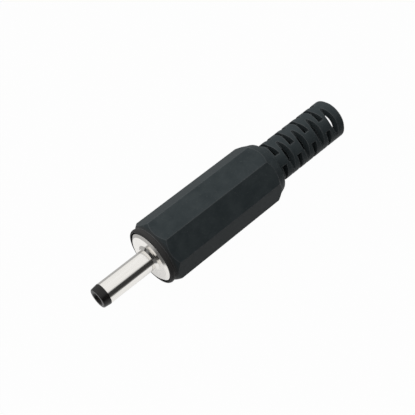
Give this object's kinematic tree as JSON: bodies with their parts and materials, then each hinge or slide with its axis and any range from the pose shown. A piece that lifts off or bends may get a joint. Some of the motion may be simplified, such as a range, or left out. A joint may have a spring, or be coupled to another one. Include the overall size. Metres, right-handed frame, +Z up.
{
  "type": "dc barrel plug",
  "caption": "In-line DC barrel plug: plated sleeve and flange, insulated tip, octagonal screw-on cover with a slotted strain relief.",
  "frame": {"origin": "on the plug's axis at the foot of the barrel, where its collar begins", "axes": "+X along the plug's axis from the tip towards the cable, +Z up with the plug lying on one flat of its cover, +Y to the left when looking along +X"},
  "size_m": [0.0498, 0.01, 0.01],
  "materials": {
    "cover_plastic": "black moulded plastic with a soft satin sheen",
    "nickel_plate": "bright nickel plate over turned brass",
    "tip_plastic": "black, slightly glossy",
    "contact_brass": "bright drawn brass",
    "insulator_plastic": "natural moulded plastic",
    "tinned_sheet": "dull tin plate on stamped sheet",
    "washer_fibre": "brown pressed fibre"
  },
  "bodies": {
    "core": {"barrel": "nickel_plate", "tip_insulator": "tip_plastic", "centre_contact": "contact_brass", "rear_insulator": "insulator_plastic", "sleeve_terminal": "tinned_sheet", "insulating_washer": "washer_fibre", "centre_lug": "tinned_sheet"},
    "cover": {"cover": "cover_plastic"}
  },
  "joints": [
    {"name": "cover_slide", "type": "slide", "parent": "core", "child": "cover", "axis": [1, 0, 0], "range_m": [0, 0.025]}
  ]
}
